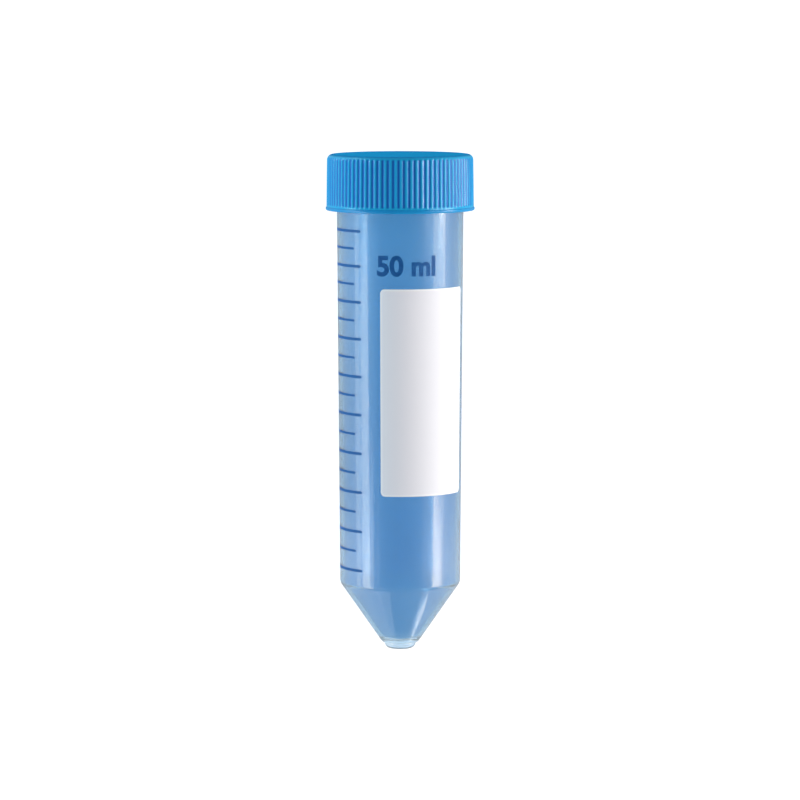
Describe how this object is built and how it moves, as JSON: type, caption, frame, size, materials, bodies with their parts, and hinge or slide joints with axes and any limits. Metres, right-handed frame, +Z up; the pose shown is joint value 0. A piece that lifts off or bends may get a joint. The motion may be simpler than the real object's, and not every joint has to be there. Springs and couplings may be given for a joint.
{
  "type": "conical centrifuge tube",
  "caption": "Capped conical centrifuge tube: screw cap with finger ribs on a clear tapered body with a conical end, printed volume marks and a white writing patch.",
  "frame": {"origin": "middle of the footprint's bounding box, on the surface that the tube lies on", "axes": "+Y along the tube towards its cap (the tube's own axis rises 2.2 degrees towards the cap), +Z up through the printed front, +X towards the writing patch"},
  "size_m": [0.035, 0.1174, 0.035],
  "materials": {
    "clear_plastic": "clear, faintly blue moulded polypropylene, glossy",
    "cap_plastic": "opaque cyan-blue moulded plastic, semi-gloss",
    "white_print": "matt white print for writing on",
    "blue_print": "dark blue print"
  },
  "bodies": {
    "tube": {"tube": "clear_plastic", "writing_patch": "white_print", "mark_5_ml": "blue_print", "mark_7_5_ml": "blue_print", "mark_10_ml": "blue_print", "mark_12_5_ml": "blue_print", "mark_15_ml": "blue_print", "mark_17_5_ml": "blue_print", "mark_20_ml": "blue_print", "mark_22_5_ml": "blue_print", "mark_25_ml": "blue_print", "mark_27_5_ml": "blue_print", "mark_30_ml": "blue_print", "mark_32_5_ml": "blue_print", "mark_35_ml": "blue_print", "mark_37_5_ml": "blue_print", "mark_40_ml": "blue_print", "mark_42_5_ml": "blue_print", "mark_45_ml": "blue_print", "mark_47_5_ml": "blue_print", "mark_50_ml": "blue_print"},
    "cap": {"cap": "cap_plastic"}
  },
  "joints": [
    {"name": "cap_lift", "type": "slide", "parent": "tube", "child": "cap", "axis": [0, 0.9993, 0.0376], "range_m": [0, 0.025]}
  ]
}
